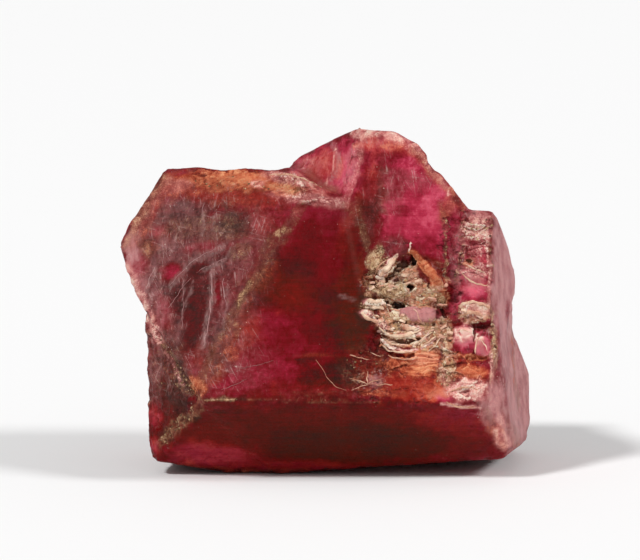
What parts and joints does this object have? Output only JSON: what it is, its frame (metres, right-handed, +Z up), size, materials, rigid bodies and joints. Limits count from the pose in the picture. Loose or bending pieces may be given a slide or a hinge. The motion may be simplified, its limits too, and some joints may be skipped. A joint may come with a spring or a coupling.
{
  "type": "spinel crystal",
  "caption": "Rough red spinel specimen: several flat-faced crystals grown together as one stone, broken open at the front right, resting on a flat underside.",
  "frame": {"origin": "middle of the bottom of the stone's box, on the plane that it rests on", "axes": "+Z up, +X along the stone's length to the viewer's right, -Y out of its front, the side with the two big flat faces and the broken place"},
  "size_m": [0.0412, 0.028, 0.0336],
  "materials": {
    "spinel": "natural vitreous crystal faces, deep crimson, with tan and orange crust where broken"
  },
  "bodies": {
    "root": {"spinel_crystal": "spinel"}
  },
  "joints": []
}
